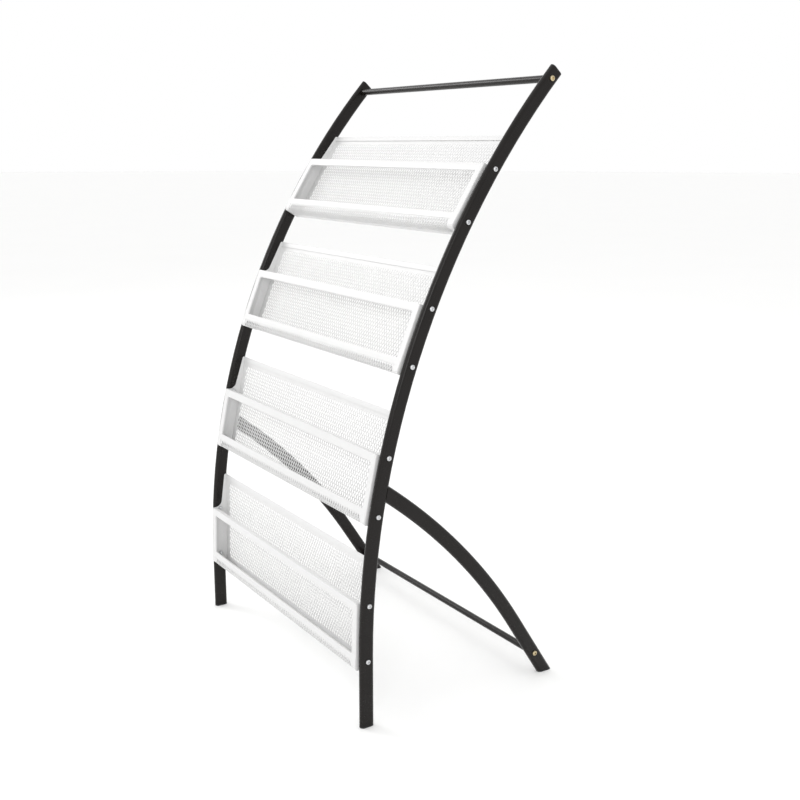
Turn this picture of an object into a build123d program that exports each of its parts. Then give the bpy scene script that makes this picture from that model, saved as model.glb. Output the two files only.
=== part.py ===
from build123d import *
from math import atan2, cos, degrees, hypot, radians, sin
import os

# Free-standing four-tier brochure rack, in millimetres.
# X runs across the rack, Y from front to back and Z up from the floor.
# The origin is on the floor, in the middle of the rack's footprint.

# Side frames: flat-sided oval tube
rack_width = 600.0              # over the outer faces of the two uprights
tube_depth = 25.0               # front to back
tube_thickness = 12.0           # across the rack
tube_wall = 1.2

# Upright: a straight foot, then one long bend towards the back
foot_straight = 125.0
bend_radius = 1370.0
bend_angle = 42.5

# Rear leg: a straight foot leaning forward, then a bend up to the upright
leg_foot_y = 377.0              # behind the upright's foot
leg_lean = 33.0
leg_straight = 135.0
leg_radius = 1080.0
leg_bend = 22.7

# Plastic caps
foot_cap = 3.0                  # thickness under each foot
top_cap = 2.0
cap_plug = 14.0                 # length inside the tube
plug_clearance = 0.1

# Cross tubes and their screws
cross_diameter = 12.0
cross_wall = 1.0
top_tube_below_end = 17.0       # along the upright
rear_tube_height = 42.0
insert_length = 20.0
tube_screw = 5.0                # diameter
tube_screw_head = 9.0

# Pockets: folded sheet between the uprights
sheet = 0.8
pocket_names = ("bottom", "lower", "upper", "top")
first_pocket = 165.0            # along the upright, to the middle between the bolts
pocket_pitch = 244.0
bolt_spacing = 96.0
pocket_depth = 32.0
pocket_top = 118.0              # heights from the middle between the bolts
rail_top = 50.0
pocket_bottom = -66.0
top_rail = 13.0
low_rail_top = -41.5
low_rail = 10.0
stile = 13.0
window_collar = 3.0
tray_radius = 3.5
lip_top = -46.0
end_flange = 12.0
hem = 9.0

# Pocket bolts and nuts
pocket_bolt = 4.0               # diameter
bolt_head = 8.2
nut_flats = 7.0

inner_face = rack_width / 2 - tube_thickness
tube_middle = rack_width / 2 - tube_thickness / 2
side_signs = {"left": -1, "right": 1}
front_face = -pocket_depth / 2
rear_face = pocket_depth / 2
frame_bottom = pocket_bottom + tray_radius


# ---------------------------------------------------------------- curves

def upright_point(distance, towards_back=0.0):
    """The (y, z) place on an upright's centreline, measured along it from the floor."""
    turn = max(0.0, distance - foot_straight) / bend_radius
    y = bend_radius * (1 - cos(turn)) + towards_back * cos(turn)
    z = min(distance, foot_straight) + bend_radius * sin(turn) - towards_back * sin(turn)
    return y, z


def leg_point(distance):
    """The (y, z) place on the straight foot of a rear leg, measured up from the floor."""
    y = leg_foot_y - distance * sin(radians(leg_lean))
    z = distance * cos(radians(leg_lean))
    return y, z


def pocket_place(index):
    """Where a pocket's own axes sit: midway between its bolts, leaning with the upright."""
    middle = first_pocket + index * pocket_pitch
    low_y, low_z = upright_point(middle - bolt_spacing / 2)
    high_y, high_z = upright_point(middle + bolt_spacing / 2)
    lean = degrees(atan2(high_y - low_y, high_z - low_z))
    return Location((0, (low_y + high_y) / 2, (low_z + high_z) / 2), (-lean, 0, 0))


# ---------------------------------------------------------------- side frames

def oval(depth, thickness):
    return SlotOverall(depth, thickness, rotation=90)


def upright_body(depth, thickness, lowest):
    """A solid oval bar along the upright's centreline."""
    section = Pos(0, 0, foot_straight) * oval(depth, thickness)
    foot = extrude(section, -(foot_straight - lowest))
    bend_axis = Axis((0, bend_radius, foot_straight), (-1, 0, 0))
    bend = revolve(section, bend_axis, bend_angle)
    return foot + bend


def leg_body(depth, thickness, lowest):
    """A solid oval bar along the rear leg's centreline, cut level at its lower end."""
    y, z = leg_point(leg_straight)
    lean = radians(leg_lean)
    plane = Plane(origin=(0, y, z), x_dir=(1, 0, 0), z_dir=(0, -sin(lean), cos(lean)))
    section = plane * oval(depth, thickness)
    foot = extrude(section, -(leg_straight + tube_depth))
    bend_centre = (0, y - leg_radius * cos(lean), z - leg_radius * sin(lean))
    bend = revolve(section, Axis(bend_centre, (1, 0, 0)), leg_bend)
    floor = Pos(0, leg_foot_y, lowest - 50) * Box(60, 160, 100)
    return foot + bend - floor


def cross_hole(y, z, diameter):
    return Pos(0, y, z) * Cylinder(diameter / 2, 3 * tube_thickness, rotation=(0, 90, 0))


def top_tube_point():
    whole = foot_straight + radians(bend_angle) * bend_radius
    return upright_point(whole - top_tube_below_end)


def rear_tube_point():
    return leg_point(rear_tube_height / cos(radians(leg_lean)))


def upright():
    """Bent tube, drilled for the pocket bolts and for the top tube's screw."""
    bore_depth = tube_depth - 2 * tube_wall
    bore_thickness = tube_thickness - 2 * tube_wall
    tube = upright_body(tube_depth, tube_thickness, foot_cap)
    tube -= upright_body(bore_depth, bore_thickness, foot_cap - 1)
    for index in range(len(pocket_names)):
        for height in (-bolt_spacing / 2, bolt_spacing / 2):
            spot = (pocket_place(index) * Pos(0, 0, height)).position
            tube -= cross_hole(spot.Y, spot.Z, pocket_bolt + 0.5)
    y, z = top_tube_point()
    tube -= cross_hole(y, z, tube_screw + 0.5)
    return tube


def rear_leg():
    """Bent tube, coped to the upright's round back edge and drilled for the rear tube's screw."""
    bore_depth = tube_depth - 2 * tube_wall
    bore_thickness = tube_thickness - 2 * tube_wall
    tube = leg_body(tube_depth, tube_thickness, foot_cap)
    tube -= leg_body(bore_depth, bore_thickness, foot_cap - 1)
    tube -= upright_body(tube_depth, tube_thickness, foot_cap)
    joint_y, joint_z = upright_point(410, tube_depth / 2)
    blunt = Pos(0, joint_y, joint_z) * Rot(-12, 0, 0) * Pos(0, -30 - 2.6, 0) * Box(60, 60, 120)
    tube -= blunt
    y, z = rear_tube_point()
    tube -= cross_hole(y, z, tube_screw + 0.5)
    return tube


# ---------------------------------------------------------------- plastic caps

def bore_oval():
    narrower = 2 * tube_wall + 2 * plug_clearance
    return oval(tube_depth - narrower, tube_thickness - narrower)


def front_foot():
    """Cap under an upright: a level pad with a plug that fits inside the tube."""
    pad = extrude(oval(tube_depth, tube_thickness), foot_cap)
    pad = fillet(pad.edges().group_by(Axis.Z)[0], 0.8)
    plug = Pos(0, 0, foot_cap) * extrude(bore_oval(), cap_plug)
    return pad + plug


def rear_foot():
    """Cap under a rear leg: the pad lies level and the plug leans with the leg."""
    narrower = 2 * tube_wall + 2 * plug_clearance
    pad_zone = Pos(0, leg_foot_y, foot_cap / 2) * Box(60, 160, foot_cap)
    plug_zone = Pos(0, leg_foot_y, foot_cap + cap_plug / 2) * Box(60, 160, cap_plug)
    pad = leg_body(tube_depth, tube_thickness, 0) & pad_zone
    plug = leg_body(tube_depth - narrower, tube_thickness - narrower, 0) & plug_zone
    return pad + plug


def top_end_cap():
    """Cap on an upright's upper end, square to the tube."""
    turn = radians(bend_angle)
    y, z = upright_point(foot_straight + turn * bend_radius)
    end = Plane(origin=(0, y, z), x_dir=(1, 0, 0), z_dir=(0, sin(turn), cos(turn)))
    lid = end * extrude(oval(tube_depth, tube_thickness), top_cap)
    lid = fillet(lid.edges().sort_by_distance(Vector(0, y, z + 100))[0:4], 0.6)
    bend_axis = Axis((0, bend_radius, foot_straight), (1, 0, 0))
    plug = revolve(end * bore_oval(), bend_axis, degrees(cap_plug / bend_radius))
    return lid + plug


# ---------------------------------------------------------------- cross tubes

def cross_tube(y, z):
    length = 2 * inner_face
    outside = Cylinder(cross_diameter / 2, length, rotation=(0, 90, 0))
    bore = Cylinder(cross_diameter / 2 - cross_wall, length + 2, rotation=(0, 90, 0))
    return Pos(0, y, z) * (outside - bore)


def tube_insert(side, y, z):
    """Threaded plug in one end of a cross tube."""
    radius = cross_diameter / 2 - cross_wall
    plug = Cylinder(radius, insert_length, rotation=(0, 90, 0))
    thread = Cylinder(tube_screw / 2 + 0.05, insert_length + 2, rotation=(0, 90, 0))
    return Pos(side * (inner_face - insert_length / 2), y, z) * (plug - thread)


def along_x(shape, side, x, y, z):
    """Turn a fastener drawn head up on Z so that its head faces out of the given side."""
    return Pos(side * x, y, z) * Rot(0, side * 90, 0) * shape


def socket_screw():
    """Button-head screw with a hexagon socket, its seat at Z 0 and its head above."""
    head = Cylinder(tube_screw_head / 2, 3.2, align=(Align.CENTER, Align.CENTER, Align.MIN))
    head = fillet(head.edges().group_by(Axis.Z)[-1], 2.0)
    socket = Pos(0, 0, 1.2) * extrude(RegularPolygon(2.0, 6), 3)
    length = tube_thickness + insert_length - 6
    shank = Pos(0, 0, -length / 2) * Cylinder(tube_screw / 2, length)
    return head - socket + shank


# ---------------------------------------------------------------- pockets
# A pocket is drawn on its own axes: X across, Y from front to back, Z up,
# with the origin on the uprights' centreline midway between the bolts.

def end_plate_outline():
    """Side view of a pocket: a high back, a swept shoulder and a square foot."""
    shoulder = 2.5
    edge = Polyline(
        (rear_face, pocket_bottom),
        (rear_face, pocket_top),
        (10.0, pocket_top),
        (shoulder, rail_top),
        (front_face, rail_top),
        (front_face, pocket_bottom),
        close=True,
    )
    face = make_face(edge)
    for place, radius in (
        ((10.0, pocket_top), 3.0),
        ((shoulder, rail_top), 14.0),
        ((front_face, rail_top), 1.5),
        ((front_face, pocket_bottom), tray_radius),
    ):
        corner = face.vertices().sort_by_distance((*place, 0))[0]
        face = fillet(corner, radius)
    return face


def left_end_plate():
    """Flat plate against the upright, with flanges behind the back panel and under the tray."""
    web = Pos(-inner_face, 0, 0) * extrude(Plane.YZ * end_plate_outline(), sheet)
    flange_x = -inner_face + end_flange / 2
    rear_height = pocket_top - 4 - pocket_bottom
    rear = Box(end_flange, sheet, rear_height)
    rear = Pos(flange_x, rear_face - sheet / 2, pocket_bottom + rear_height / 2) * rear
    base_depth = rear_face - (front_face + tray_radius)
    base = Box(end_flange, base_depth, sheet)
    base = Pos(flange_x, rear_face - base_depth / 2, pocket_bottom + sheet / 2) * base
    plate = web + rear + base
    for height in (-bolt_spacing / 2, bolt_spacing / 2):
        plate -= Pos(-inner_face, 0, height) * Cylinder(
            (pocket_bolt + 0.3) / 2, 6, rotation=(0, 90, 0)
        )
    return plate


def panel_width():
    return 2 * (inner_face - sheet) - 0.4


def back_panel():
    """Flat sheet whose top edge is folded forward into a rounded hem."""
    bottom = pocket_bottom + sheet
    fold = 1.5 * sheet
    front = rear_face - 2 * sheet
    height = pocket_top - fold - bottom
    panel = Pos(0, front + sheet / 2, bottom + height / 2) * Box(panel_width(), sheet, height)
    lip_front = front - 2 * sheet
    lip = Box(panel_width(), sheet, hem - fold)
    lip = Pos(0, lip_front + sheet / 2, pocket_top - fold - (hem - fold) / 2) * lip
    bead = Circle(fold) - Circle(fold - sheet)
    bead -= Pos(0, -fold) * Rectangle(4 * fold, 2 * fold)
    bead = extrude(Plane.YZ * bead, panel_width() / 2, both=True)
    bead = Pos(0, front - sheet / 2, pocket_top - fold) * bead
    return panel + lip + bead


def bottom_tray():
    """Sheet under the brochures: a rear upstand, a flat floor and a front lip."""
    width = panel_width()
    floor_top = pocket_bottom + 2 * sheet
    back = rear_face - 2 * sheet
    centre_y = front_face + tray_radius
    centre_z = pocket_bottom + tray_radius
    outer = tray_radius - sheet
    floor = Pos(0, (back + centre_y) / 2, floor_top - sheet / 2) * Box(width, back - centre_y, sheet)
    upstand = Pos(0, back - sheet / 2, floor_top - sheet + 5) * Box(width, sheet, 10)
    ring = Circle(outer) - Circle(outer - sheet)
    ring &= Pos(-outer / 2, -outer / 2) * Rectangle(outer, outer)
    curve = extrude(Plane.YZ * ring, width / 2, both=True)
    curve = Pos(0, centre_y, centre_z) * curve
    lip_height = lip_top - centre_z
    lip = Box(width, sheet, lip_height)
    lip = Pos(0, front_face + 1.5 * sheet, centre_z + lip_height / 2) * lip
    return floor + upstand + curve + lip


def front_frame():
    """Pressed frame round the open window, whose stiles run down past the low rail."""
    width = panel_width()
    height = rail_top - frame_bottom
    window_width = 2 * (inner_face - stile)
    window_height = rail_top - top_rail - low_rail_top
    middle = (rail_top + frame_bottom) / 2
    window_middle = low_rail_top + window_height / 2
    window = Pos(0, window_middle) * RectangleRounded(window_width, window_height, 3)
    outline = Pos(0, middle) * RectangleRounded(width, height, 3)
    notch_height = low_rail_top - low_rail - frame_bottom
    notch = Rectangle(window_width, notch_height)
    notch = Pos(0, frame_bottom + notch_height / 2) * notch
    upright_plane = Plane(origin=(0, front_face, 0), x_dir=(1, 0, 0), z_dir=(0, -1, 0))
    face = upright_plane * extrude(outline - window - notch, -sheet)
    window_hole = Pos(0, window_middle)
    window_hole *= RectangleRounded(window_width - 2 * sheet, window_height - 2 * sheet, 2.2)
    collar = upright_plane * extrude(window - window_hole, -window_collar)
    fold_bottom = lip_top + 2
    fold_zone = Rectangle(width, rail_top - fold_bottom)
    fold_zone = Pos(0, (rail_top + fold_bottom) / 2) * fold_zone
    inside = Pos(0, middle) * RectangleRounded(width - 2 * sheet, height - 2 * sheet, 2.2)
    fold = upright_plane * extrude((outline - inside) & fold_zone, -8)
    return face + collar + fold


def pan_bolt():
    """Pan-head bolt with a cross recess, its seat at Z 0 and its head above."""
    head = Cylinder(bolt_head / 2, 2.8, align=(Align.CENTER, Align.CENTER, Align.MIN))
    head = fillet(head.edges().group_by(Axis.Z)[-1], 1.6)
    for turn in (0, 90):
        head -= Pos(0, 0, 2.3) * Rot(0, 0, turn) * Box(4.4, 1.0, 2.4)
    length = tube_thickness + sheet + 5
    shank = Pos(0, 0, -length / 2) * Cylinder(pocket_bolt / 2, length)
    return head + shank


def dome_nut():
    """Hexagon nut closed by a dome, its seat at Z 0 and its dome above."""
    hexagon = extrude(RegularPolygon(nut_flats / 2, 6, major_radius=False), 4)
    dome = Pos(0, 0, 4) * Sphere(nut_flats / 2 - 0.3)
    dome &= Pos(0, 0, 8) * Box(20, 20, 8)
    bore = Pos(0, 0, 2.9) * Cylinder(pocket_bolt / 2 + 0.05, 5.8)
    return hexagon + dome - bore


def pocket_fasteners(fastener, seat, facing):
    """Four copies: two bolts' worth on each side of a pocket."""
    group = []
    for side in (-1, 1):
        for height in (-bolt_spacing / 2, bolt_spacing / 2):
            place = Pos(side * seat, 0, height) * Rot(0, side * facing * 90, 0)
            group.append(place * fastener)
    return group


# ---------------------------------------------------------------- placing and saving

def footprint_middle():
    """Y of the footprint's middle, between the bottom pocket's front and the rear feet."""
    place = pocket_place(0)
    corner = (place * Pos(0, front_face + tray_radius, frame_bottom)).position
    front = corner.Y - tray_radius
    back = leg_foot_y + tube_depth / 2 / cos(radians(leg_lean))
    return (front + back) / 2


def save(shape, node):
    shapes = shape if isinstance(shape, list) else [shape]
    placed = [Pos(0, -footprint_middle(), 0) * item for item in shapes]
    solids = [solid for item in placed for solid in item.solids()]
    whole = solids[0] if len(solids) == 1 else Compound(children=solids)
    whole.label = node
    export_step(whole, "parts/" + node + ".step")


def save_side_frames():
    pieces = {
        "upright": upright(),
        "rear_leg": rear_leg(),
        "top_end_cap": top_end_cap(),
        "front_foot": front_foot(),
        "rear_foot": rear_foot(),
    }
    for side, sign in side_signs.items():
        for name, piece in pieces.items():
            save(Pos(sign * tube_middle, 0, 0) * piece, side + "_" + name)


def save_cross_tubes():
    for name, (y, z) in (("top", top_tube_point()), ("rear", rear_tube_point())):
        screw = socket_screw()
        inserts = [tube_insert(side, y, z) for side in (-1, 1)]
        screws = [along_x(screw, side, rack_width / 2, y, z) for side in (-1, 1)]
        save(cross_tube(y, z), name + "_cross_tube")
        save(inserts, name + "_tube_inserts")
        save(screws, name + "_tube_screws")


def save_pockets():
    end_plate = left_end_plate()
    pieces = {
        "left_end_plate": end_plate,
        "right_end_plate": mirror(end_plate, Plane.YZ),
        "back_panel": back_panel(),
        "bottom_tray": bottom_tray(),
        "front_frame": front_frame(),
        "bolts": pocket_fasteners(pan_bolt(), rack_width / 2, 1),
        "nuts": pocket_fasteners(dome_nut(), inner_face - sheet, -1),
    }
    for index, tier in enumerate(pocket_names):
        place = pocket_place(index)
        for name, piece in pieces.items():
            items = piece if isinstance(piece, list) else [piece]
            save([place * item for item in items], tier + "_pocket_" + name)


os.makedirs("parts", exist_ok=True)
save_side_frames()
save_cross_tubes()
save_pockets()
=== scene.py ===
import math

import bmesh
import bpy
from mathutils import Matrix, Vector


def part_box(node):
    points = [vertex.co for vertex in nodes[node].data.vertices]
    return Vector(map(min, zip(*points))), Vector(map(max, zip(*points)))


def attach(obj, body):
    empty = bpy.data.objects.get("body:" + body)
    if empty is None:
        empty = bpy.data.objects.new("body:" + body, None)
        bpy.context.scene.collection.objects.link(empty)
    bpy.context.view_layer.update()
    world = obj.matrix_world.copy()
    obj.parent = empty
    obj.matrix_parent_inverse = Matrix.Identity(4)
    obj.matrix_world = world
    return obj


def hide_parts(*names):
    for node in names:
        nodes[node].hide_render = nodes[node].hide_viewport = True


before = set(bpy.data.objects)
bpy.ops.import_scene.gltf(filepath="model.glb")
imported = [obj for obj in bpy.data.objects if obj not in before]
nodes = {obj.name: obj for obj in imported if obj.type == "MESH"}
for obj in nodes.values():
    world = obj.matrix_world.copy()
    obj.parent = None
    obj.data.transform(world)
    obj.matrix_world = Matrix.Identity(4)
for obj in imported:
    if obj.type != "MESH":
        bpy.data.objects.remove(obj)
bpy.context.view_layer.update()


# ---------------------------------------------------------------- camera
# The camera stands at the front right of the rack, at the height of its top
# pocket, and looks a little down on it.

camera_place = (1.71474, -1.03658, 0.93315)
camera_heading = 57.425
camera_down = 13.015
camera_roll = -0.083
camera_lens = 49.705
camera_sensor = 36
camera_shift_x = 0.0034
camera_shift_y = 0.0008

bpy.ops.object.select_all(action="DESELECT")
bpy.ops.object.camera_add(location=camera_place)
camera = bpy.context.object
camera.name = "camera"
camera.rotation_euler = (
    math.radians(90 - camera_down),
    math.radians(camera_roll),
    math.radians(camera_heading),
)
camera.data.sensor_width = camera_sensor
camera.data.lens = camera_lens
camera.data.shift_x = camera_shift_x
camera.data.shift_y = camera_shift_y
bpy.context.scene.camera = camera


# ---------------------------------------------------------------- studio floor and light
# A wide pale floor in a pale room, with four large soft lamps: one at the
# left, one in front, one at the right and one overhead.

floor_radius = 40
floor_middle_radius = 4
floor_colour = (0.93, 0.93, 0.925, 1)
floor_cloud_colour = (0.915, 0.915, 0.91, 1)
room_seen = 1.0
room_dim_side = 0.86
room_bright_side = 1.22
room_fade = 0.6
lamp_aim = Vector((0, 0, 0.5))

bpy.ops.object.select_all(action="DESELECT")
bpy.ops.mesh.primitive_circle_add(vertices=96, radius=floor_radius, fill_type="NGON")
floor = bpy.context.object
floor.name = "studio_floor"
bpy.ops.object.mode_set(mode="EDIT")
bpy.ops.mesh.inset(thickness=floor_radius - floor_middle_radius)
bpy.ops.object.mode_set(mode="OBJECT")

floor_paint = bpy.data.materials.new("floor_paint")
floor_paint.use_nodes = True
floor_nodes = floor_paint.node_tree.nodes
floor_links = floor_paint.node_tree.links
floor_shader = floor_nodes["Principled BSDF"]
floor_shader.inputs["Specular IOR Level"].default_value = 0.15
floor_where = floor_nodes.new("ShaderNodeTexCoord")
floor_clouds = floor_nodes.new("ShaderNodeTexNoise")
floor_clouds.inputs["Scale"].default_value = 1.5
floor_clouds.inputs["Detail"].default_value = 4
floor_tint = floor_nodes.new("ShaderNodeMix")
floor_tint.data_type = "RGBA"
floor_tint.inputs["A"].default_value = floor_colour
floor_tint.inputs["B"].default_value = floor_cloud_colour
floor_rough = floor_nodes.new("ShaderNodeMapRange")
floor_rough.inputs["To Min"].default_value = 0.7
floor_rough.inputs["To Max"].default_value = 0.85
floor_links.new(floor_where.outputs["Object"], floor_clouds.inputs["Vector"])
floor_links.new(floor_clouds.outputs["Fac"], floor_tint.inputs["Factor"])
floor_links.new(floor_tint.outputs["Result"], floor_shader.inputs["Base Color"])
floor_links.new(floor_clouds.outputs["Fac"], floor_rough.inputs["Value"])
floor_links.new(floor_rough.outputs["Result"], floor_shader.inputs["Roughness"])
floor.data.materials.append(floor_paint)

room = bpy.data.worlds.new("pale_room")
room.use_nodes = True
room_nodes = room.node_tree.nodes
room_nodes.clear()
room_ray = room_nodes.new("ShaderNodeLightPath")
room_where = room_nodes.new("ShaderNodeTexCoord")
room_axes = room_nodes.new("ShaderNodeSeparateXYZ")
room_shade = room_nodes.new("ShaderNodeMapRange")
room_shade.inputs["From Min"].default_value = room_fade
room_shade.inputs["From Max"].default_value = -room_fade
room_shade.inputs["To Min"].default_value = room_dim_side
room_shade.inputs["To Max"].default_value = room_bright_side
room_strength = room_nodes.new("ShaderNodeMix")
room_strength.inputs["B"].default_value = room_seen
room_back = room_nodes.new("ShaderNodeBackground")
room_back.inputs["Color"].default_value = (1, 1, 1, 1)
room_out = room_nodes.new("ShaderNodeOutputWorld")
room.node_tree.links.new(room_where.outputs["Generated"], room_axes.inputs["Vector"])
room.node_tree.links.new(room_axes.outputs["X"], room_shade.inputs["Value"])
room.node_tree.links.new(room_shade.outputs["Result"], room_strength.inputs["A"])
room.node_tree.links.new(room_ray.outputs["Is Camera Ray"], room_strength.inputs["Factor"])
room.node_tree.links.new(room_strength.outputs["Result"], room_back.inputs["Strength"])
room.node_tree.links.new(room_back.outputs["Background"], room_out.inputs["Surface"])
bpy.context.scene.world = room
bpy.context.scene.view_settings.view_transform = "Standard"


def soft_lamp(name, place, size, power):
    """A square lamp aimed at the middle of the rack."""
    bpy.ops.object.select_all(action="DESELECT")
    bpy.ops.object.light_add(type="AREA", location=place)
    lamp = bpy.context.object
    lamp.name = name
    lamp.data.size = size
    lamp.data.energy = power
    aim = lamp_aim - Vector(place)
    lamp.rotation_euler = aim.to_track_quat("-Z", "Y").to_euler()


soft_lamp("lamp_left", (-3.2, -1.8, 2.4), 1.4, 34)
soft_lamp("lamp_front", (0.6, -3.8, 2.6), 2.2, 12)
soft_lamp("lamp_right", (3.2, -2.2, 1.9), 1.6, 32)
soft_lamp("lamp_overhead", (0.2, 0.1, 4.2), 3.0, 12)


# ---------------------------------------------------------------- side frames
# Each side is an upright and a rear leg of flat-sided oval steel tube, bent
# on a roller and powder coated semi-gloss black after welding.

black_coat = (0.0062, 0.0048, 0.0040, 1)
black_coat_patch = (0.0080, 0.0064, 0.0056, 1)
black_coat_worn = (0.018, 0.016, 0.015, 1)
black_gloss_index = 1.33
black_roughness = 0.28
black_peel = 0.35
black_rubs = 0.5
bump_depth = 0.0002


def effect_group(name, inputs, outputs):
    """An empty shader group with its named inputs and outputs, and the nodes at its two ends."""
    group = bpy.data.node_groups.new(name, "ShaderNodeTree")
    group.interface.new_socket(name="Vector", in_out="INPUT", socket_type="NodeSocketVector")
    for label, value in inputs:
        socket = group.interface.new_socket(
            name=label, in_out="INPUT", socket_type="NodeSocketFloat"
        )
        socket.default_value = value
    for label in outputs:
        group.interface.new_socket(name=label, in_out="OUTPUT", socket_type="NodeSocketFloat")
    return group, group.nodes.new("NodeGroupInput"), group.nodes.new("NodeGroupOutput")


def orange_peel_group():
    """The soft pebbled skin of baked powder, with broad patches that gloss a little more."""
    group, given, made = effect_group(
        "orange_peel", [("Pebbles", 900), ("Patch Scale", 22)], ["Height", "Patches"]
    )
    pebbles = group.nodes.new("ShaderNodeTexNoise")
    pebbles.inputs["Detail"].default_value = 2
    pebbles.inputs["Roughness"].default_value = 0.45
    clouds = group.nodes.new("ShaderNodeTexNoise")
    clouds.inputs["Detail"].default_value = 5
    clouds.inputs["Roughness"].default_value = 0.6
    spread = group.nodes.new("ShaderNodeMapRange")
    spread.inputs["From Min"].default_value = 0.3
    spread.inputs["From Max"].default_value = 0.7
    link = group.links.new
    link(given.outputs["Vector"], pebbles.inputs["Vector"])
    link(given.outputs["Pebbles"], pebbles.inputs["Scale"])
    link(given.outputs["Vector"], clouds.inputs["Vector"])
    link(given.outputs["Patch Scale"], clouds.inputs["Scale"])
    link(clouds.outputs["Fac"], spread.inputs["Value"])
    link(pebbles.outputs["Fac"], made.inputs["Height"])
    link(spread.outputs["Result"], made.inputs["Patches"])
    return group


def rubbed_marks_group():
    """Small pale rubs and hairline scratches left by handling, stronger near the floor."""
    group, given, made = effect_group(
        "rubbed_marks", [("Mark Scale", 35), ("Amount", 0.5), ("Floor Height", 0.25)], ["Mask"]
    )
    marks = group.nodes.new("ShaderNodeTexNoise")
    marks.inputs["Detail"].default_value = 8
    marks.inputs["Roughness"].default_value = 0.72
    marks.inputs["Distortion"].default_value = 0.6
    cut = group.nodes.new("ShaderNodeMapRange")
    cut.inputs["From Min"].default_value = 0.62
    cut.inputs["From Max"].default_value = 0.74
    place = group.nodes.new("ShaderNodeSeparateXYZ")
    low = group.nodes.new("ShaderNodeMapRange")
    low.inputs["From Min"].default_value = 0.0
    low.inputs["To Min"].default_value = 1.0
    low.inputs["To Max"].default_value = 0.3
    both = group.nodes.new("ShaderNodeMath")
    both.operation = "MULTIPLY"
    amount = group.nodes.new("ShaderNodeMath")
    amount.operation = "MULTIPLY"
    link = group.links.new
    link(given.outputs["Vector"], marks.inputs["Vector"])
    link(given.outputs["Mark Scale"], marks.inputs["Scale"])
    link(marks.outputs["Fac"], cut.inputs["Value"])
    link(given.outputs["Vector"], place.inputs["Vector"])
    link(place.outputs["Z"], low.inputs["Value"])
    link(given.outputs["Floor Height"], low.inputs["From Max"])
    link(cut.outputs["Result"], both.inputs[0])
    link(low.outputs["Result"], both.inputs[1])
    link(both.outputs["Value"], amount.inputs[0])
    link(given.outputs["Amount"], amount.inputs[1])
    link(amount.outputs["Value"], made.inputs["Mask"])
    return group


orange_peel = orange_peel_group()
rubbed_marks = rubbed_marks_group()


def coated_steel(name, colour, patch_colour, worn_colour, gloss_index, rough, peel, marks):
    """Powder coated steel: pebbled skin, slight patches of colour and gloss, and rubs."""
    material = bpy.data.materials.new(name)
    material.use_nodes = True
    tree = material.node_tree
    shader = tree.nodes["Principled BSDF"]
    shader.inputs["IOR"].default_value = gloss_index
    where = tree.nodes.new("ShaderNodeTexCoord")
    skin = tree.nodes.new("ShaderNodeGroup")
    skin.node_tree = orange_peel
    rubs = tree.nodes.new("ShaderNodeGroup")
    rubs.node_tree = rubbed_marks
    rubs.inputs["Amount"].default_value = marks
    patches = tree.nodes.new("ShaderNodeMix")
    patches.data_type = "RGBA"
    patches.inputs["A"].default_value = colour
    patches.inputs["B"].default_value = patch_colour
    worn = tree.nodes.new("ShaderNodeMix")
    worn.data_type = "RGBA"
    worn.inputs["B"].default_value = worn_colour
    gloss = tree.nodes.new("ShaderNodeMapRange")
    gloss.inputs["To Min"].default_value = rough - 0.05
    gloss.inputs["To Max"].default_value = rough + 0.05
    duller = tree.nodes.new("ShaderNodeMath")
    duller.operation = "MULTIPLY_ADD"
    duller.inputs[1].default_value = 0.2
    bump = tree.nodes.new("ShaderNodeBump")
    bump.inputs["Strength"].default_value = peel
    bump.inputs["Distance"].default_value = bump_depth
    link = tree.links.new
    link(where.outputs["Object"], skin.inputs["Vector"])
    link(where.outputs["Object"], rubs.inputs["Vector"])
    link(skin.outputs["Patches"], patches.inputs["Factor"])
    link(patches.outputs["Result"], worn.inputs["A"])
    link(rubs.outputs["Mask"], worn.inputs["Factor"])
    link(worn.outputs["Result"], shader.inputs["Base Color"])
    link(skin.outputs["Patches"], gloss.inputs["Value"])
    link(rubs.outputs["Mask"], duller.inputs[0])
    link(gloss.outputs["Result"], duller.inputs[2])
    link(duller.outputs["Value"], shader.inputs["Roughness"])
    link(skin.outputs["Height"], bump.inputs["Height"])
    link(bump.outputs["Normal"], shader.inputs["Normal"])
    return material


def finish_nodes(material, *names):
    """Gives CAD parts their finish."""
    for name in names:
        for place in nodes[name].material_slots:
            place.material = material


black_powder_coat = coated_steel(
    "black_powder_coat",
    black_coat,
    black_coat_patch,
    black_coat_worn,
    black_gloss_index,
    black_roughness,
    black_peel,
    black_rubs,
)
finish_nodes(black_powder_coat, "left_upright", "right_upright")
finish_nodes(black_powder_coat, "left_rear_leg", "right_rear_leg")
finish_nodes(black_powder_coat, "top_cross_tube", "rear_cross_tube")


# ---------------------------------------------------------------- plastic feet and end caps
# Injection moulded black caps pushed into the tube ends, with a fine spark
# eroded grain and scuffs where they rub on the floor.

cap_black = (0.012, 0.012, 0.0125, 1)
cap_scuffed = (0.07, 0.068, 0.065, 1)

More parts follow.
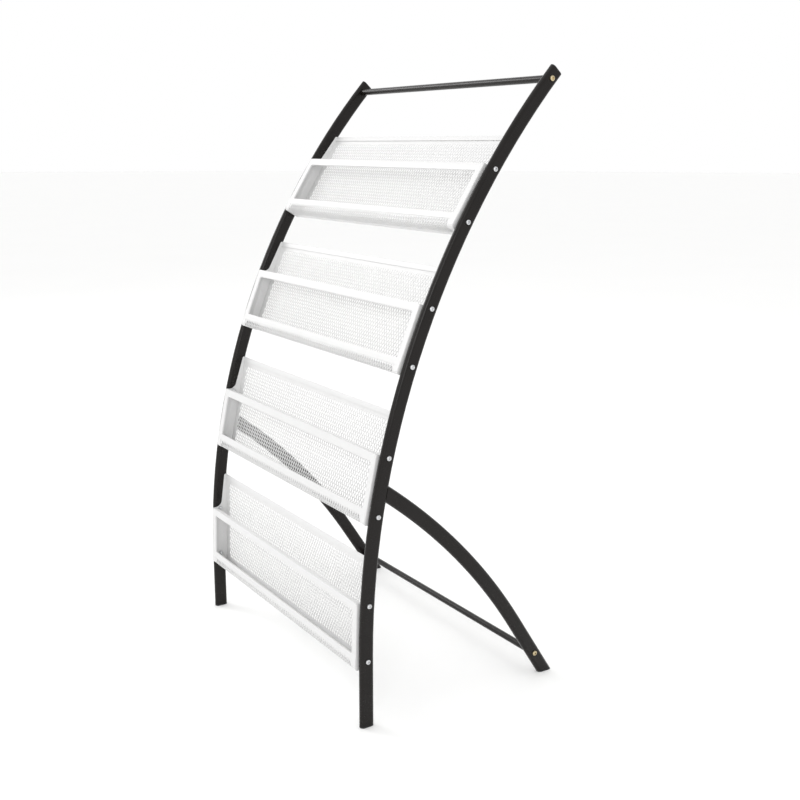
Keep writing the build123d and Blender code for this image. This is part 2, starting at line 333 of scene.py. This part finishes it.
black_plastic = bpy.data.materials.new("black_plastic")
black_plastic.use_nodes = True
cap_tree = black_plastic.node_tree
cap_shader = cap_tree.nodes["Principled BSDF"]
cap_shader.inputs["IOR"].default_value = 1.46
cap_where = cap_tree.nodes.new("ShaderNodeTexCoord")
cap_rubs = cap_tree.nodes.new("ShaderNodeGroup")
cap_rubs.node_tree = rubbed_marks
cap_rubs.inputs["Mark Scale"].default_value = 120
cap_rubs.inputs["Amount"].default_value = 0.9
cap_rubs.inputs["Floor Height"].default_value = 0.02
cap_grain = cap_tree.nodes.new("ShaderNodeTexVoronoi")
cap_grain.inputs["Scale"].default_value = 1800
cap_colour = cap_tree.nodes.new("ShaderNodeMix")
cap_colour.data_type = "RGBA"
cap_colour.inputs["A"].default_value = cap_black
cap_colour.inputs["B"].default_value = cap_scuffed
cap_rough = cap_tree.nodes.new("ShaderNodeMapRange")
cap_rough.inputs["To Min"].default_value = 0.5
cap_rough.inputs["To Max"].default_value = 0.72
cap_bump = cap_tree.nodes.new("ShaderNodeBump")
cap_bump.inputs["Strength"].default_value = 0.4
cap_bump.inputs["Distance"].default_value = 0.0001
cap_tree.links.new(cap_where.outputs["Object"], cap_rubs.inputs["Vector"])
cap_tree.links.new(cap_where.outputs["Object"], cap_grain.inputs["Vector"])
cap_tree.links.new(cap_rubs.outputs["Mask"], cap_colour.inputs["Factor"])
cap_tree.links.new(cap_colour.outputs["Result"], cap_shader.inputs["Base Color"])
cap_tree.links.new(cap_grain.outputs["Distance"], cap_rough.inputs["Value"])
cap_tree.links.new(cap_rough.outputs["Result"], cap_shader.inputs["Roughness"])
cap_tree.links.new(cap_grain.outputs["Distance"], cap_bump.inputs["Height"])
cap_tree.links.new(cap_bump.outputs["Normal"], cap_shader.inputs["Normal"])
for side in ("left", "right"):
    finish_nodes(
        black_plastic, side + "_top_end_cap", side + "_front_foot", side + "_rear_foot"
    )


# ---------------------------------------------------------------- screws and inserts of the cross tubes
# Button head socket screws, zinc plated and yellow passivated, that hold the
# two cross tubes between the side frames, and the plain inserts they bite in.

yellow_film = (0.60, 0.52, 0.33, 1)
yellow_film_pink = (0.50, 0.41, 0.26, 1)
bright_film = (0.74, 0.745, 0.75, 1)
bright_film_dull = (0.55, 0.56, 0.58, 1)


def plated_steel(name, colour, other_colour, rough):
    """Zinc plated steel: cloudy passivation, turned lines and tool rubs."""
    material = bpy.data.materials.new(name)
    material.use_nodes = True
    tree = material.node_tree
    shader = tree.nodes["Principled BSDF"]
    shader.inputs["Metallic"].default_value = 1.0
    where = tree.nodes.new("ShaderNodeTexCoord")
    clouds = tree.nodes.new("ShaderNodeTexNoise")
    clouds.inputs["Scale"].default_value = 260
    clouds.inputs["Detail"].default_value = 4
    lines = tree.nodes.new("ShaderNodeTexNoise")
    lines.inputs["Scale"].default_value = 2400
    lines.inputs["Detail"].default_value = 3
    film = tree.nodes.new("ShaderNodeMix")
    film.data_type = "RGBA"
    film.inputs["A"].default_value = colour
    film.inputs["B"].default_value = other_colour
    gloss = tree.nodes.new("ShaderNodeMapRange")
    gloss.inputs["From Min"].default_value = 0.3
    gloss.inputs["From Max"].default_value = 0.7
    gloss.inputs["To Min"].default_value = rough - 0.06
    gloss.inputs["To Max"].default_value = rough + 0.1
    bump = tree.nodes.new("ShaderNodeBump")
    bump.inputs["Strength"].default_value = 0.2
    bump.inputs["Distance"].default_value = 0.00004
    link = tree.links.new
    link(where.outputs["Object"], clouds.inputs["Vector"])
    link(where.outputs["Object"], lines.inputs["Vector"])
    link(clouds.outputs["Fac"], film.inputs["Factor"])
    link(film.outputs["Result"], shader.inputs["Base Color"])
    link(clouds.outputs["Fac"], gloss.inputs["Value"])
    link(gloss.outputs["Result"], shader.inputs["Roughness"])
    link(lines.outputs["Fac"], bump.inputs["Height"])
    link(bump.outputs["Normal"], shader.inputs["Normal"])
    return material


yellow_zinc = plated_steel("yellow_zinc", yellow_film, yellow_film_pink, 0.3)
bright_zinc = plated_steel("bright_zinc", bright_film, bright_film_dull, 0.32)
finish_nodes(yellow_zinc, "top_tube_screws", "rear_tube_screws")
finish_nodes(bright_zinc, "top_tube_inserts", "rear_tube_inserts")


# ---------------------------------------------------------------- where the pockets hang
# Each pocket is bolted through the uprights with two bolts a side. Its own
# axes start midway between them and lean back with the uprights.

tiers = ("bottom", "lower", "upper", "top")
bolt_head_width = 0.0082


def pocket_seat(tier):
    """Where a pocket's axes start, and how far they lean back."""
    low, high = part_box(tier + "_pocket_bolts")
    back = high.y - low.y - bolt_head_width
    up = high.z - low.z - bolt_head_width
    return Vector((0, (low.y + high.y) / 2, (low.z + high.z) / 2)), math.atan2(back, up)


def pick_only(piece):
    """Makes the piece the one that the next operator works on."""
    bpy.ops.object.select_all(action="DESELECT")
    piece.select_set(True)
    bpy.context.view_layer.objects.active = piece


def hang(pattern, tier, name, stands_for, mirrored=False):
    """A copy of the pattern, in its place on the rack."""
    pick_only(pattern)
    bpy.ops.object.duplicate()
    piece = bpy.context.object
    piece.name = name
    piece.data.name = name
    if mirrored:
        bpy.ops.object.mode_set(mode="EDIT")
        bpy.ops.mesh.select_all(action="SELECT")
        bpy.ops.transform.mirror(constraint_axis=(True, False, False), center_override=(0, 0, 0))
        bpy.ops.mesh.normals_make_consistent(inside=False)
        bpy.ops.object.mode_set(mode="OBJECT")
    seat, lean = pocket_seat(tier)
    piece.location = seat
    piece.rotation_euler = (-lean, 0, 0)
    bpy.ops.object.transform_apply(location=True, rotation=True, scale=True)
    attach(piece, "root")
    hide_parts(stands_for)
    return piece


def finish_pattern(pattern, material, smooth=35):
    """Sets the material and the smooth shading that all copies take over."""
    pick_only(pattern)
    pattern.data.materials.clear()
    pattern.data.materials.append(material)
    bpy.ops.object.shade_smooth_by_angle(angle=math.radians(smooth))


def give_wall(pattern, thickness):
    """Turns a sheet drawn as its middle surface into a closed wall."""
    pick_only(pattern)
    wall = pattern.modifiers.new("wall", "SOLIDIFY")
    wall.thickness = thickness
    wall.offset = 0
    wall.use_even_offset = True
    bpy.ops.object.modifier_apply(modifier="wall")


def choose(piece, kind, wanted):
    """Selects only the corners, edges or faces that pass the test."""
    bpy.ops.mesh.select_mode(type=kind)
    bpy.ops.mesh.select_all(action="DESELECT")
    shape = bmesh.from_edit_mesh(piece.data)
    parts = {"VERT": shape.verts, "EDGE": shape.edges, "FACE": shape.faces}[kind]
    for part in parts:
        if wanted(part):
            part.select_set(True)
    shape.select_flush_mode()
    bmesh.update_edit_mesh(piece.data)


# ---------------------------------------------------------------- pocket back panels
# Cold rolled sheet pressed into open diamond mesh, left plain at its margins.
# The top edge is rolled over to the front as a safe hem.

sheet = 0.0008
mesh_across = 0.0073
mesh_up = 0.0125
strand = 0.0012
panel_width = 0.5740
panel_columns = 75
panel_rows = 13
panel_mesh_bottom = -0.0585
panel_bottom = -0.0652
panel_middle_depth = 0.0148
hem_radius = 0.0008
hem_turn = 0.1168
hem_down = 0.0078
white_coat = (0.670, 0.669, 0.667, 1)
white_coat_patch = (0.655, 0.654, 0.652, 1)
white_coat_worn = (0.58, 0.58, 0.57, 1)
white_gloss_index = 1.46
white_roughness = 0.40
white_peel = 0.30
white_rubs = 0.25
tiny = 0.00001
weld_distance = 0.000005
hem_steps = 8

white_powder_coat = coated_steel(
    "white_powder_coat",
    white_coat,
    white_coat_patch,
    white_coat_worn,
    white_gloss_index,
    white_roughness,
    white_peel,
    white_rubs,
)


def diamond_mesh(name, columns, rows):
    """A flat field of diamond holes on the floor plane, with its half diamonds left shut."""
    bpy.ops.object.select_all(action="DESELECT")
    bpy.ops.mesh.primitive_grid_add(x_subdivisions=columns, y_subdivisions=rows, size=1)
    field = bpy.context.object
    field.name = name
    field.scale = (columns * mesh_across, rows * mesh_up, 1)
    bpy.ops.object.transform_apply(scale=True)
    bpy.ops.object.mode_set(mode="EDIT")
    bpy.ops.mesh.select_all(action="SELECT")
    bpy.ops.mesh.poke()
    choose(field, "EDGE", lambda edge: not edge.is_boundary and runs_square(edge))
    bpy.ops.mesh.dissolve_edges(use_verts=False)
    choose(field, "FACE", lambda face: len(face.verts) == 4)
    bpy.ops.mesh.inset(thickness=strand / 2, use_individual=True)
    bpy.ops.mesh.delete(type="FACE")
    bpy.ops.object.mode_set(mode="OBJECT")
    return field


def runs_square(edge):
    """True for the edges of the first grid, which run straight across or straight up."""
    start, end = edge.verts[0].co, edge.verts[1].co
    return abs(start.x - end.x) < tiny or abs(start.y - end.y) < tiny


def draw_out(piece, wanted, move):
    """Extrudes the chosen rim of a sheet by the given move."""
    choose(piece, "VERT", wanted)
    bpy.ops.mesh.extrude_region_move(TRANSFORM_OT_translate={"value": move})


def close_up():
    """Joins the corners that lie together and faces the sheet one way."""
    bpy.ops.mesh.select_all(action="SELECT")
    bpy.ops.mesh.remove_doubles(threshold=weld_distance)
    bpy.ops.mesh.normals_make_consistent(inside=False)


back_pattern = diamond_mesh("back_panel_pattern", panel_columns, panel_rows)
half_mesh = panel_columns * mesh_across / 2
half_rows = panel_rows * mesh_up / 2
side_margin = panel_width / 2 - half_mesh
top_margin = hem_turn - panel_mesh_bottom - panel_rows * mesh_up
bottom_margin = panel_mesh_bottom - panel_bottom
bpy.ops.object.mode_set(mode="EDIT")
draw_out(back_pattern, lambda v: v.co.x > half_mesh - tiny, (side_margin, 0, 0))
draw_out(back_pattern, lambda v: v.co.x < -half_mesh + tiny, (-side_margin, 0, 0))
draw_out(back_pattern, lambda v: v.co.y > half_rows - tiny, (0, top_margin, 0))
draw_out(back_pattern, lambda v: v.co.y < -half_rows + tiny, (0, -bottom_margin, 0))
bpy.ops.object.mode_set(mode="OBJECT")
back_pattern.rotation_euler = (math.pi / 2, 0, 0)
back_pattern.location = (0, panel_middle_depth, panel_mesh_bottom + half_rows)
bpy.ops.object.transform_apply(location=True, rotation=True, scale=True)
bpy.ops.object.mode_set(mode="EDIT")
choose(back_pattern, "VERT", lambda v: v.co.z > hem_turn - tiny)
bpy.ops.mesh.spin(
    steps=hem_steps,
    angle=-math.pi,
    center=(0, panel_middle_depth - hem_radius, hem_turn),
    axis=(1, 0, 0),
)
bpy.ops.mesh.extrude_region_move(TRANSFORM_OT_translate={"value": (0, 0, -hem_down)})
close_up()
bpy.ops.object.mode_set(mode="OBJECT")
give_wall(back_pattern, sheet)
finish_pattern(back_pattern, white_powder_coat)
for tier in tiers:
    hang(back_pattern, tier, tier + "_mesh_back", tier + "_pocket_back_panel")
bpy.data.objects.remove(back_pattern)


# ---------------------------------------------------------------- pocket trays
# The same mesh sheet under the brochures: a plain upstand behind, a flat
# floor, and a front turned up over a small radius behind the low rail.

tray_rows = 3
tray_floor = -0.0648
tray_back = 0.0140
tray_upstand = 0.0096
tray_front = -0.0125
tray_round = 0.0023
tray_lip = 0.0165
tray_folds = 5


def cut_across(place, facing):
    """Adds a line of edges right across a sheet."""
    bpy.ops.mesh.select_all(action="SELECT")
    bpy.ops.mesh.bisect(plane_co=place, plane_no=facing)


tray_pattern = diamond_mesh("tray_pattern", panel_columns, tray_rows)
half_rows = tray_rows * mesh_up / 2
tray_flat_end = tray_front - tray_round * math.pi / 2 - tray_lip
tray_back_margin = (tray_back - tray_flat_end - tray_rows * mesh_up) / 2
tray_middle = (tray_back + tray_flat_end) / 2
tray_pattern.location = (0, tray_middle, tray_floor)
bpy.ops.object.transform_apply(location=True)
bpy.ops.object.mode_set(mode="EDIT")
draw_out(tray_pattern, lambda v: v.co.x > half_mesh - tiny, (side_margin, 0, 0))
draw_out(tray_pattern, lambda v: v.co.x < -half_mesh + tiny, (-side_margin, 0, 0))
mesh_end = tray_middle - half_rows
draw_out(tray_pattern, lambda v: v.co.y < mesh_end + tiny, (0, -tray_back_margin, 0))
mesh_end = tray_middle + half_rows
draw_out(tray_pattern, lambda v: v.co.y > mesh_end - tiny, (0, tray_back_margin, 0))
draw_out(tray_pattern, lambda v: v.co.y > tray_back - tiny, (0, 0, tray_upstand))
fold_step = tray_round * math.pi / 2 / tray_folds
for fold in range(tray_folds):
    line = tray_front - (fold + 0.5) * fold_step
    cut_across((0, line, 0), (0, 1, 0))
bpy.ops.mesh.select_all(action="SELECT")
bpy.ops.mesh.normals_make_consistent(inside=False)
bpy.ops.object.mode_set(mode="OBJECT")
flat_places = [v.co.y for v in tray_pattern.data.vertices]
bpy.ops.object.mode_set(mode="EDIT")
for fold in reversed(range(tray_folds)):
    line = tray_front - (fold + 0.5) * fold_step
    choose(tray_pattern, "VERT", lambda v: flat_places[v.index] < line - tiny)
    bpy.ops.transform.rotate(
        value=math.radians(90 / tray_folds),
        orient_axis="X",
        orient_type="GLOBAL",
        center_override=(0, line, tray_floor),
    )
bpy.ops.object.mode_set(mode="OBJECT")
give_wall(tray_pattern, sheet)
finish_pattern(tray_pattern, white_powder_coat)
for tier in tiers:
    hang(tray_pattern, tier, tier + "_mesh_tray", tier + "_pocket_bottom_tray")
bpy.data.objects.remove(tray_pattern)


# ---------------------------------------------------------------- pocket front frames
# One pressed frame for each pocket, with an open window. Its stiles run down
# past the low rail, and its edges are turned back over a soft radius.

frame_half_width = 0.2866
frame_top = 0.0496
frame_foot = -0.0625
window_half_width = 0.2746
window_top = 0.0366
window_foot = -0.0411
low_rail_foot = -0.0515
stile_inside = 0.2750
frame_face = -0.0156
window_corner = 0.0034
window_turn = 0.0026
edge_turn = 0.0076
side_turn_start = -0.0440
fold_radius = 0.0018
sharp_from = 60


def is_sharp_fold(edge):
    """True for the lines where a sheet has been turned and not yet rounded."""
    return len(edge.link_faces) == 2 and edge.calc_face_angle() > math.radians(sharp_from)


def flat_sheet(name, width, height):
    """A plain rectangle on the floor plane, to be stood up and shaped."""
    bpy.ops.object.select_all(action="DESELECT")
    bpy.ops.mesh.primitive_plane_add(size=1)
    drawn = bpy.context.object
    drawn.name = name
    drawn.scale = (width, height, 1)
    bpy.ops.object.transform_apply(scale=True)
    return drawn


window_height = window_top - window_foot
window_middle = (window_top + window_foot) / 2
front_pattern = flat_sheet("front_frame_pattern", 2 * window_half_width, window_height)
front_pattern.rotation_euler = (math.pi / 2, 0, 0)
front_pattern.location = (0, frame_face, window_middle)
bpy.ops.object.transform_apply(location=True, rotation=True, scale=True)
bpy.ops.object.mode_set(mode="EDIT")
bpy.ops.mesh.select_all(action="SELECT")
bpy.ops.mesh.bevel(offset=window_corner, segments=6, affect="VERTICES")
choose(front_pattern, "EDGE", lambda edge: True)
bpy.ops.mesh.extrude_edges_move(TRANSFORM_OT_translate={"value": (0, 0, 0)})
bpy.ops.transform.resize(
    value=(
        frame_half_width / window_half_width,
        1,
        (frame_top - low_rail_foot) / window_height,
    ),
    center_override=(0, frame_face, window_middle),
)
bpy.ops.transform.translate(value=(0, 0, (frame_top + low_rail_foot) / 2 - window_middle))
choose(front_pattern, "FACE", lambda face: len(face.verts) > 4)
bpy.ops.mesh.delete(type="FACE")
cut_across((0, 0, side_turn_start), (0, 0, 1))
cut_across((-stile_inside, 0, 0), (1, 0, 0))
cut_across((stile_inside, 0, 0), (1, 0, 0))


def round_the_window(edge):
    """True for the rim of the open window."""
    return edge.is_boundary and all(
        abs(v.co.x) < window_half_width + tiny
        and abs(v.co.z - window_middle) < window_height / 2 + tiny
        for v in edge.verts
    )


def under_a_stile(edge):
    """True for the foot of the ring below a stile, with its rounded outer corner."""
    start, end = edge.verts[0].co, edge.verts[1].co
    return (
        edge.is_boundary
        and abs(start.x + end.x) / 2 > stile_inside
        and abs(start.x - end.x) > tiny
        and max(start.z, end.z) < side_turn_start - tiny
    )


def round_the_outside(edge):
    """True for the outer rim, from where its turned edge starts upwards."""
    return (
        edge.is_boundary
        and not round_the_window(edge)
        and all(v.co.z > side_turn_start - tiny for v in edge.verts)
        and all(v.co.y < frame_face + tiny for v in edge.verts)
    )


choose(front_pattern, "EDGE", under_a_stile)
bpy.ops.mesh.extrude_edges_move(
    TRANSFORM_OT_translate={"value": (0, 0, frame_foot - low_rail_foot)}
)
choose(front_pattern, "EDGE", round_the_window)
bpy.ops.mesh.extrude_edges_move(TRANSFORM_OT_translate={"value": (0, window_turn, 0)})
choose(front_pattern, "EDGE", round_the_outside)
bpy.ops.mesh.extrude_edges_move(TRANSFORM_OT_translate={"value": (0, edge_turn, 0)})
close_up()
choose(front_pattern, "EDGE", is_sharp_fold)
bpy.ops.mesh.bevel(offset=fold_radius, segments=5, affect="EDGES", clamp_overlap=True)
bpy.ops.object.mode_set(mode="OBJECT")
give_wall(front_pattern, sheet)
finish_pattern(front_pattern, white_powder_coat)
for tier in tiers:
    hang(front_pattern, tier, tier + "_pressed_front", tier + "_pocket_front_frame")
bpy.data.objects.remove(front_pattern)


# ---------------------------------------------------------------- pocket end plates
# Laser cut plates folded from the same sheet, one at each end of a pocket,
# with a flange behind the back panel and one under the tray, and two holes
# drilled for the bolts.

plate_web = -0.2876
plate_front = -0.0160
plate_rear = 0.0156
plate_base = -0.0656
plate_step = 0.0500
plate_top = 0.1180
shoulder_start = 0.0025
shoulder_end = 0.0100
rear_flange_top = 0.1140
base_flange_front = -0.0125
flange_reach = 0.0116
plate_fold = 0.0009
bolt_hole_height = 0.0480
bolt_hole_radius = 0.00215
drill_length = 0.006
edge_softness = 0.00018
softened_from = 50
collapsed_edge = 0.000002

plate_pattern = flat_sheet(
    "end_plate_pattern", plate_rear - plate_front, plate_step - plate_base
)
plate_pattern.rotation_euler = (math.pi / 2, 0, math.pi / 2)
plate_pattern.location = (
    plate_web,
    (plate_rear + plate_front) / 2,
    (plate_step + plate_base) / 2,
)
bpy.ops.object.transform_apply(location=True, rotation=True, scale=True)
bpy.ops.object.mode_set(mode="EDIT")
cut_across((0, shoulder_start, 0), (0, 1, 0))
choose(
    plate_pattern,
    "EDGE",
    lambda edge: all(
        v.co.z > plate_step - tiny and v.co.y > shoulder_start - tiny for v in edge.verts
    ),
)
bpy.ops.mesh.extrude_edges_move(
    TRANSFORM_OT_translate={"value": (0, 0, plate_top - plate_step)}
)
choose(
    plate_pattern,
    "VERT",
    lambda v: v.co.z > plate_top - tiny and v.co.y < shoulder_start + tiny,
)
bpy.ops.transform.translate(value=(0, shoulder_end - shoulder_start, 0))
bpy.ops.mesh.select_all(action="SELECT")
bpy.ops.mesh.dissolve_limited(angle_limit=math.radians(1))
for corner_y, corner_z, cut_back, steps in (
    (shoulder_end, plate_top, 0.0027, 5),
    (shoulder_start, plate_step, 0.0125, 10),
    (plate_front, plate_step, 0.0015, 4),
    (plate_front, plate_base, 0.0035, 6),
):
    choose(
        plate_pattern,
        "VERT",
        lambda v: abs(v.co.y - corner_y) < tiny and abs(v.co.z - corner_z) < tiny,
    )
    bpy.ops.mesh.bevel(offset=cut_back, segments=steps, affect="VERTICES")
cut_across((0, 0, rear_flange_top), (0, 0, 1))
cut_across((0, base_flange_front, 0), (0, 1, 0))


def on_a_flange_line(edge):
    """True for the rear and bottom edges that a flange is folded from."""
    rear = all(
        v.co.y > plate_rear - tiny and v.co.z < rear_flange_top + tiny for v in edge.verts
    )
    base = all(
        v.co.z < plate_base + tiny and v.co.y > base_flange_front - tiny for v in edge.verts
    )
    return edge.is_boundary and (rear or base)


choose(plate_pattern, "EDGE", on_a_flange_line)
bpy.ops.mesh.extrude_edges_move(TRANSFORM_OT_translate={"value": (flange_reach, 0, 0)})
close_up()
choose(plate_pattern, "EDGE", is_sharp_fold)
bpy.ops.mesh.bevel(offset=plate_fold, segments=4, affect="EDGES", clamp_overlap=True)
bpy.ops.object.mode_set(mode="OBJECT")
give_wall(plate_pattern, sheet)
for height in (-bolt_hole_height, bolt_hole_height):
    bpy.ops.object.select_all(action="DESELECT")
    bpy.ops.mesh.primitive_cylinder_add(
        vertices=24,
        radius=bolt_hole_radius,
        depth=drill_length,
        location=(plate_web, 0, height),
        rotation=(0, math.pi / 2, 0),
    )
    drill = bpy.context.object
    pick_only(plate_pattern)
    drilled = plate_pattern.modifiers.new("drilled", "BOOLEAN")
    drilled.operation = "DIFFERENCE"
    drilled.solver = "EXACT"
    drilled.object = drill
    bpy.ops.object.modifier_apply(modifier="drilled")
    bpy.data.objects.remove(drill)
softened = plate_pattern.modifiers.new("softened", "BEVEL")
softened.width = edge_softness
softened.segments = 2
softened.limit_method = "ANGLE"
softened.angle_limit = math.radians(softened_from)
bpy.ops.object.modifier_apply(modifier="softened")
bpy.ops.object.mode_set(mode="EDIT")
bpy.ops.mesh.select_all(action="SELECT")
bpy.ops.mesh.dissolve_degenerate(threshold=collapsed_edge)
bpy.ops.object.mode_set(mode="OBJECT")
finish_pattern(plate_pattern, white_powder_coat)
for tier in tiers:
    hang(plate_pattern, tier, tier + "_left_plate", tier + "_pocket_left_end_plate")
    hang(plate_pattern, tier, tier + "_right_plate", tier + "_pocket_right_end_plate", True)
bpy.data.objects.remove(plate_pattern)


# ---------------------------------------------------------------- pocket bolts and nuts
# Cross recessed pan head bolts through the uprights from outside, and domed
# nuts inside the pockets, both bright zinc plated.

for tier in tiers:
    finish_nodes(bright_zinc, tier + "_pocket_bolts", tier + "_pocket_nuts")
